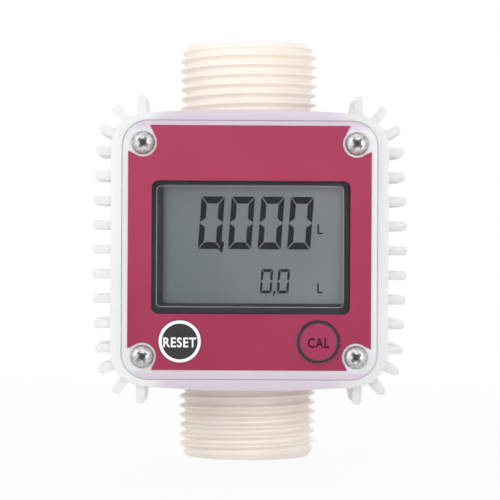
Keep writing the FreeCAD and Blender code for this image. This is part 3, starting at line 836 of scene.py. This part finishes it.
@dataclass
class DisplayHighlight:
    """A painted highlight on the edge of the display's cover glass, a thin line inside the black holder."""

    half: Pair = (21.35, 13.78)
    centre: Pair = (0.1, 0.77)
    line: float = 0.16
    height: float = 0.03
    corner: float = 0.9

    def build(self) -> Object:
        """Lay the line on the holder's front.

        Returns:
            The piece.
        """
        front = -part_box("display_holder")[0].y
        centre = (self.centre[0] * MM, MIDDLE + self.centre[1] * MM)
        shape = bmesh.new()
        loops = [
            rounded_loop(centre, *((reach + line) * MM for reach in self.half), (self.corner + line) * MM)
            for line in (self.line, 0.0)
        ]
        band(shape, *loops, front + self.height * MM, front - EASE / 4)
        piece = finished("display_painted_highlight", shape, PAINTED_EDGE_HIGHLIGHT)
        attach(piece, Body.METER.value)
        return piece


@dataclass
class CoverScrews:
    """Four pan-head screws with a cross recess.

    brow flattens the ball that rounds the head's rim, and taper is the share of its width that the recess
    loses from mouth to foot. A face in the recess is a wall where its normal's y is above steep, and else its
    floor where it lies lower than floor_share of the head. spin is the least and most turn of a screw.
    """

    head_radius: float = 2.7
    head_height: float = 1.75
    dome_radius: float = 7.5
    brow: float = 0.72
    shank_radius: float = 1.5
    recess_span: float = 2.95
    recess_width: float = 0.78
    recess_hub: float = 0.88
    recess_depth: float = 2.2
    taper: float = 0.58
    steep: float = -0.85
    floor_share: float = 0.6
    spin: Pair = (0.4, 0.95)
    sides: int = 48

    def screw_tree(self) -> NodeTree:
        """Build the tree of the four screws.

        Returns:
            The geometry tree, whose heads sit on z = 0 and are turned to face forward.
        """
        names = (*SCREW_SIZES, "brow", "shank_length", "across", "up", "seat", "middle")
        tree, given, result = new_tree("cover_screw", names)
        add = partial(add_node, tree)
        # The head is where a ball, a flattened ball and a cylinder overlap: a flat dome with a rounded rim.
        ball = add(SPHERE, {"Segments": self.sides, "Rings": self.sides, "Radius": given["dome_radius"]})
        sink = add(MATH, [given["head_height"], given["dome_radius"]], operation="SUBTRACT")
        sunk = add(COMBINE, {2: sink})
        dome = add(TRANSFORM, {0: ball, "Translation": sunk})
        rim = add(
            CYLINDER, {"Vertices": self.sides, "Radius": given["head_radius"], "Depth": given["head_height"]}
        )
        half = add(MATH, [given["head_height"], 0.5], operation="MULTIPLY")
        lift = add(COMBINE, {2: half})
        raised = add(TRANSFORM, {0: rim, "Translation": lift})
        cheek = add(
            SPHERE, {"Segments": self.sides, "Rings": self.sides // 2, "Radius": given["head_radius"]}
        )
        squat = add(COMBINE, [1.001, 1.001, given["brow"]])
        pressed = add(TRANSFORM, {0: cheek, "Scale": squat})
        head = add(BOOLEAN, {"Mesh 2": [dome, raised, pressed]}, solver="EXACT", operation="INTERSECT")
        # The recess: two crossed bars round a hub, all narrowing downward.
        wing = add(COMBINE, [given["recess_span"], given["recess_width"], given["recess_depth"]])
        bar = add("GeometryNodeMeshCube", {"Size": wing})
        crossing = add(TRANSFORM, {0: bar, "Rotation": (0.0, 0.0, math.pi / 2)})
        hub = add(CYLINDER, {"Vertices": 12, "Radius": given["recess_hub"], "Depth": given["recess_depth"]})
        star = add(BOOLEAN, {"Mesh 2": [bar, crossing, hub]}, solver="EXACT", operation="UNION")
        place = add("GeometryNodeInputPosition")
        split = add("ShaderNodeSeparateXYZ", [place])
        low_share = add(MATH, [split.outputs["Z"], given["recess_depth"]], operation="DIVIDE")
        narrow = add(MAP_RANGE, [low_share, -0.5, 0.5, 1 - self.taper, 1 + self.taper])
        narrow_x = add(MATH, [split.outputs["X"], narrow], operation="MULTIPLY")
        narrow_y = add(MATH, [split.outputs["Y"], narrow], operation="MULTIPLY")
        point = add(COMBINE, [narrow_x, narrow_y, split.outputs["Z"]])
        cross = add("GeometryNodeSetPosition", {0: star, "Position": point})
        at_top = add(COMBINE, {2: given["head_height"]})
        cross_up = add(TRANSFORM, {0: cross, "Translation": at_top})
        cut = add(BOOLEAN, {"Mesh 1": head, "Mesh 2": cross_up}, solver="EXACT", operation="DIFFERENCE")
        shank = add(
            CYLINDER, {"Vertices": 32, "Radius": given["shank_radius"], "Depth": given["shank_length"]}
        )
        # A little less than half its length down, so that its top stays inside the head.
        back = add(MATH, [given["shank_length"], -0.499], operation="MULTIPLY")
        down = add(COMBINE, {2: back})
        lowered = add(TRANSFORM, {0: shank, "Translation": down})
        screw = add("GeometryNodeJoinGeometry", {"Geometry": [cut, lowered]})
        # One screw at each corner, each turned by its own angle.
        corners = add(
            "GeometryNodeMeshGrid",
            {"Size X": given["across"], "Size Y": given["up"], "Vertices X": 2, "Vertices Y": 2},
        )
        stand = add(COMBINE, {1: given["seat"], 2: given["middle"]})
        upright = add(TRANSFORM, {0: corners, "Translation": stand, "Rotation": (math.pi / 2, 0.0, 0.0)})
        spin = add(
            "FunctionNodeRandomValue",
            {"Min": self.spin[0], "Max": self.spin[1], "Seed": 5},
            data_type="FLOAT",
        )
        swing = add(COMBINE, {2: spin.outputs[1]})
        placed = add(
            "GeometryNodeInstanceOnPoints",
            {"Points": upright, "Instance": screw, "Rotation": (math.pi / 2, 0.0, 0.0)},
        )
        swung = add("GeometryNodeRotateInstances", {0: placed, "Rotation": swing})
        finish_tree(tree, swung, given, result)
        return tree

    def build(self) -> Object:
        """Build the screws in the cover's corners.

        Returns:
            The piece, which stands for the CAD screws.
        """
        low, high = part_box("cover_screws")
        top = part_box("front_cover")[0].y
        reach = 2 * self.head_radius * MM
        sizes = {
            **metres(self, SCREW_SIZES), "brow": self.brow, "shank_length": high.y - top, "seat": top,
            "across": high.x - low.x - reach, "up": high.z - low.z - reach, "middle": (high.z + low.z) / 2,
        }
        piece = grow("cross_recess_screws", self.screw_tree(), STAINLESS, sizes)
        shade(piece.data, 30)
        self.paint_recess_shade(piece, top)
        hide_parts("cover_screws")
        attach(piece, Body.METER.value)
        return piece

    def paint_recess_shade(self, piece: Object, seat: float) -> None:
        """Paint shade on the steep walls and the floor of each recess.

        Args:
            piece: the screws.
            seat: the depth of the face that the heads sit on, in metres.
        """
        piece.data.materials.append(PAINTED_RECESS_SHADE.material())
        piece.data.materials.append(PAINTED_RECESS_FLOOR_SHADE.material())
        low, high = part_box("cover_screws")
        across, up = (high.x + low.x) / 2, (high.z + low.z) / 2
        reach = (high.x - low.x) / 2 - self.head_radius * MM
        for face in piece.data.polygons:
            x = abs(face.center.x - across) - reach
            z = abs(face.center.z - up) - reach
            inside = math.hypot(x, z) < self.recess_span / 2 * MM + EASE
            # Steep walls take the painted wall shade, and the lower floor takes the painted floor shade.
            if inside and face.center.y < seat and face.normal.y > self.steep:
                face.material_index = 1
            elif inside and face.center.y > seat - self.floor_share * self.head_height * MM:
                face.material_index = 2


@dataclass
class DisplayDigits:
    """The dark segments of the display, laid on the panel's front.

    Sizes are width and height, bars are upright and level, and places are from the middle of the face, in mm.
    mitre is the slope of a bar's ends, and a digit lower than full_height has narrower gaps.
    """

    ink: float = 0.03
    slant: float = 0.07
    gap: float = 0.16
    big_size: Pair = (5.35, 12.1)
    big_bars: Pair = (1.3, 1.6)
    big_left: tuple[float, ...] = (-11.9, -4.98, 1.85, 8.62)
    big_top: float = 12.3
    small_size: Pair = (2.72, 5.6)
    small_bars: Pair = (0.56, 0.68)
    small_left: tuple[float, ...] = (2.4, 6.3)
    small_top: float = -4.32
    mitre: float = 0.62
    full_height: float = 9.0
    letter_left: float = 15.62
    letter_feet: Pair = (3.75, -9.85)
    letter_size: Pair = (1.22, 2.3)
    letter_bars: Pair = (0.38, 0.36)

    def segments(self, left: float, top: float, size: Pair, bars: Pair) -> list[Outline]:
        """List the outlines of the six lit bars of a nought.

        Args:
            left: the digit's left edge at its foot, in mm.
            top: its top edge, in mm above the middle of the panel's face.
            size: its width and height in mm.
            bars: the widths of its upright and level bars in mm.

        Returns:
            One outline for each bar, in mm.
        """
        width, height = size
        side, level = bars
        g = self.gap * min(1.0, height / self.full_height)
        half = height / 2
        right = width - side
        notch = level * self.mitre
        flat = [
            [(g, height), (side + g, height - level), (right - g, height - level), (width - g, height)],
            [(g, 0), (width - g, 0), (right - g, level), (side + g, level)],
        ]
        for low, high in ((g, half - g / 2), (half + g / 2, height - g)):
            inner_low = level + g if low < half / 2 else low + notch
            inner_high = height - level - g if high > half * 1.5 else high - notch
            flat.append([(0, low), (side, inner_low), (side, inner_high), (0, high)])
            flat.append([(width, high), (right, inner_high), (right, inner_low), (width, low)])
        return [[(left + x + self.slant * y, top - height + y) for x, y in outline] for outline in flat]

    def strokes(self) -> list[Outline]:
        """List every dark outline of the display in mm.

        Returns:
            The digits, the decimal marks and the two unit letters.
        """
        outlines = []
        for left in self.big_left:
            outlines += self.segments(left, self.big_top, self.big_size, self.big_bars)
        for left in self.small_left:
            outlines += self.segments(left, self.small_top, self.small_size, self.small_bars)
        outlines.append([(-6.95, -0.3), (-6.25, -0.6), (-5.75, 1.9), (-6.75, 1.9)])
        outlines.append([(5.45, -10.5), (5.75, -10.6), (6.05, -9.3), (5.6, -9.3)])
        (wide, tall), (stem, sole) = self.letter_size, self.letter_bars
        for foot in self.letter_feet:
            for across, low, high in ((wide, 0.0, sole), (stem, sole, tall)):
                corners = ((0.0, low), (across, low), (across, high), (0.0, high))
                outlines.append([(self.letter_left + x, foot + z) for x, z in corners])
        return outlines

    def build(self) -> Object:
        """Build the segments on the panel.

        Returns:
            The piece.
        """
        front = -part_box("display_panel")[0].y
        shape = bmesh.new()
        for outline in self.strokes():
            points = [(x * MM, MIDDLE + z * MM) for x, z in outline]
            prism(shape, points, front + self.ink * MM, front)
        bmesh.ops.recalc_face_normals(shape, faces=shape.faces)
        piece = finished("display_segments", shape, SEGMENT, 20)
        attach(piece, Body.METER.value)
        return piece


@dataclass
class Key:
    """A round key: a cap that shows as its ring,
    an inlay a little proud of it and a word. Sizes are in mm."""

    name: str
    node: str
    body: Body
    word: str
    rim: Finish
    inlay: Finish
    ink: Finish
    slot: str
    inlay_radius: float
    word_width: float
    cap_height: float = 0.45
    word_height: float = 2.25
    weight: float = 0.07
    word_drop: float = 0.2
    word_sink: float = 0.02
    rounding: float = 0.22
    stem_radius: float = 2.4
    ring_drop: float = 0.06
    sides: int = 96

    def lathe(self, centre: Vector, profile: Outline, finish: Finish, name: str) -> Object:
        """Turn a profile about the key's axis into a closed piece.

        Args:
            centre: a point on the axis, in metres.
            profile: radius and forward distance of each corner, in metres. It starts and ends on the axis.
            finish: the finish.
            name: the piece's name.

        Returns:
            The object.
        """
        shape = bmesh.new()
        rings = []
        for radius, forward in profile:
            turns = [math.tau * i / self.sides for i in range(self.sides if radius else 1)]
            spokes = [(radius * math.cos(turn), radius * math.sin(turn)) for turn in turns]
            rings.append([shape.verts.new((centre.x + x, -forward, centre.z + z)) for x, z in spokes])
        for one, two in zip(rings, rings[1:]):
            for i in range(self.sides):
                j = (i + 1) % self.sides
                corners = [one[i % len(one)], one[j % len(one)], two[j % len(two)], two[i % len(two)]]
                kept = list(dict.fromkeys(corners))
                if len(kept) > 2:
                    shape.faces.new(kept)
        bmesh.ops.recalc_face_normals(shape, faces=shape.faces)
        return finished(name, shape, finish, 35)

    def build(self) -> list[Object]:
        """Build the cap, its ring, its inlay and its word.

        Returns:
            The pieces, which ride on the key's own body.
        """
        low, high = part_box(self.node)
        centre = (low + high) / 2
        front = -low.y
        back = -high.y
        outer = (high.x - low.x) / 2
        cap = front - self.cap_height * MM
        inner = self.inlay_radius * MM
        rounding = self.rounding * MM
        stem = self.stem_radius * MM
        sunk = front - self.ring_drop * MM
        base = self.lathe(
            centre,
            [
                (0, sunk), (outer - rounding * 1.6, sunk), (outer - rounding * 0.5, front - rounding * 0.5),
                (outer, front - rounding * 1.5), (outer, cap), (stem, cap), (stem, back), (0, back),
            ],
            self.rim,
            f"{self.name}_cap",
        )
        disc = [(0, front - EASE / 2), (inner - EASE, front - EASE / 2), (inner, sunk), (0, sunk)]
        pieces = [base, self.lathe(centre, disc, self.inlay, f"{self.name}_inlay")]
        face = Vector((centre.x, -(front - self.word_sink * MM), centre.z - self.word_drop * MM))
        word = (f"{self.name}_word", self.word, self.word_height, self.weight, face, self.ink)
        pieces.append(text_piece(*word, width=self.word_width))
        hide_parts(self.node)
        for piece in pieces:
            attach(piece, self.body.value)
        return pieces


@dataclass
class Studio:
    """Camera, floor, world and soft lamps.

    The camera's lens is in mm, its places in metres and its angles in degrees. The floor glows as brightly as
    the backdrop from the far end of glow_reach, in metres, and by near_glow inside the near one.
    """

    lens: float = 152.4
    distance: float = 0.5196
    across: float = -0.0058
    level: float = 0.04939
    yaw: float = 0.697
    pitch: float = 0.075
    roll: float = 0.313
    backdrop: float = 1.0
    room: float = 0.66
    floor_half: float = 4.0
    floor_drop: float = 0.2
    near_glow: float = 0.88
    glow_reach: Pair = (0.1, 0.6)

    def camera(self) -> None:
        """Aim the camera at the face from the height of the pipe's middle."""
        lens = bpy.data.cameras.new("camera")
        lens.lens = self.lens
        lens.sensor_width = 36.0
        lens.clip_end = 50.0
        eye = new_object("camera", lens)
        yaw, pitch, roll = map(math.radians, (self.yaw, self.pitch, self.roll))
        ahead = Vector((math.sin(yaw) * math.cos(pitch), math.cos(yaw) * math.cos(pitch), math.sin(pitch)))
        right = Vector((math.cos(yaw), -math.sin(yaw), 0.0))
        above = right.cross(ahead)
        turned = right * math.cos(roll) + above * math.sin(roll)
        upward = above * math.cos(roll) - right * math.sin(roll)
        axes = Matrix((turned, upward, -ahead)).transposed().to_4x4()
        eye.matrix_world = Matrix.Translation((self.across, -self.distance, self.level)) @ axes
        bpy.context.scene.camera = eye

    def shown_share(self, tree: NodeTree) -> Node:
        """Add the nodes that give 1 to rays that show a surface, in gloss and through clear parts too.

        Args:
            tree: the shader tree.

        Returns:
            The node that gives 1 to those rays and 0 to rays that only carry light.
        """
        add = partial(add_node, tree)
        ray = add("ShaderNodeLightPath")
        seen = add(MATH, [ray.outputs["Is Camera Ray"], ray.outputs["Is Glossy Ray"]])
        return add(MATH, [seen, ray.outputs["Is Transmission Ray"]], use_clamp=True)

    def world(self) -> None:
        """Light the room softly and show plain white behind the object, in gloss and through clear parts."""
        world = bpy.data.worlds.new("studio")
        bpy.context.scene.world = world
        world.use_nodes = True
        tree = world.node_tree
        add = partial(add_node, tree)
        tree.nodes.clear()
        shown = self.shown_share(tree)
        strength = add(MIX, {0: shown, 2: self.room, 3: self.backdrop})
        white = add("ShaderNodeBackground", {"Color": (1, 1, 1, 1), "Strength": strength})
        add("ShaderNodeOutputWorld", [white])

    def floor(self) -> None:
        """Lay a plain pale floor that keeps a soft shadow."""
        shape = bmesh.new()
        bmesh.ops.create_grid(shape, x_segments=1, y_segments=1, size=self.floor_half)
        mesh = bpy.data.meshes.new("floor")
        shape.to_mesh(mesh)
        shape.free()
        mesh.transform(Matrix.Translation((0, 0, CAD_BOX[0][2] - self.floor_drop * MM)))
        material = bpy.data.materials.new("pale_studio_floor")
        material.use_nodes = True
        tree = material.node_tree
        add = partial(add_node, tree)
        tree.nodes.clear()
        shown = self.shown_share(tree)
        where = add("ShaderNodeTexCoord")
        away = add("ShaderNodeVectorMath", [where.outputs["Object"]], operation="LENGTH")
        near, far = self.glow_reach
        fade = add(MAP_RANGE, [away.outputs["Value"], near, far, self.near_glow, 1.0])
        share = add(MATH, [shown, fade], operation="MULTIPLY")
        pale = add("ShaderNodeBsdfDiffuse", {"Color": (0.9, 0.9, 0.9, 1)})
        glow = add("ShaderNodeEmission", {"Color": (1, 1, 1, 1), "Strength": 1.0})
        both = add("ShaderNodeMixShader", [share, pale, glow])
        add("ShaderNodeOutputMaterial", [both])
        mesh.materials.append(material)
        new_object("floor", mesh)

    def lamp(self, name: str, place: tuple[float, float, float], size: float, watts: float) -> None:
        """Hang a square soft lamp that faces the object.

        Args:
            name: the lamp's name.
            place: where it hangs, in metres.
            size: its side in metres.
            watts: its power.
        """
        light = bpy.data.lights.new(name, "AREA")
        light.size = size
        light.energy = watts
        lamp = new_object(name, light)
        lamp.location = place
        middle = Vector((0, 0, MIDDLE))
        lamp.rotation_euler = (middle - Vector(place)).to_track_quat("-Z", "Y").to_euler()

    def build(self) -> None:
        """Set up the whole studio."""
        bpy.context.scene.view_settings.view_transform = "Standard"
        self.camera()
        self.world()
        self.floor()
        self.lamp("key_lamp", (-0.8, -0.7, 0.5), 0.7, 4.3)
        self.lamp("fill_lamp", (0.45, -0.85, 0.12), 0.5, 3.7)
        self.lamp("rear_lamp", (0.2, 0.9, 0.6), 0.8, 3.0)


def dress_nodes() -> None:
    """Give every CAD node that stays its own finish."""
    for finish, nodes in NODE_FINISHES:
        for node in nodes.split():
            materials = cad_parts[node].data.materials
            materials.clear()
            materials.append(finish.material())
            log.info("dressed %s in %s", node, finish.name)


def main() -> None:
    """Build the studio and every piece in order, and report each."""
    logging.basicConfig(level=logging.INFO, format="%(message)s")
    Studio().build()
    dress_nodes()
    builders: list[Any] = [
        MeterBody(),
        SoftenedNode("protective_boot", "rounded_boot", "boot", ELASTOMER, 0.12, flatten=False),
        FrontCover("front_cover", "bevelled_cover", "cover", POLYCARBONATE, 0.12),
        DisplayHighlight(),
        CoverScrews(),
        DisplayDigits(),
        Key(
            "reset", "reset_key", Body.RESET, "RESET", rim=WHITE_INK, inlay=BLACK_KEY, ink=WHITE_INK,
            slot="reset_key", inlay_radius=4.1, word_width=7.5,
        ),
        Key(
            "cal", "cal_key", Body.CAL, "CAL", rim=DARK_RING, inlay=CRIMSON_KEY, ink=PLUM_INK,
            slot="cal_key", inlay_radius=4.22, word_width=4.9,
        ),
    ]
    for builder in builders:
        made = builder.build()
        for piece in made if isinstance(made, list) else [made]:
            log.info("built %s with %d faces", piece.name, len(piece.data.polygons))


if __name__ == "__main__":
    main()
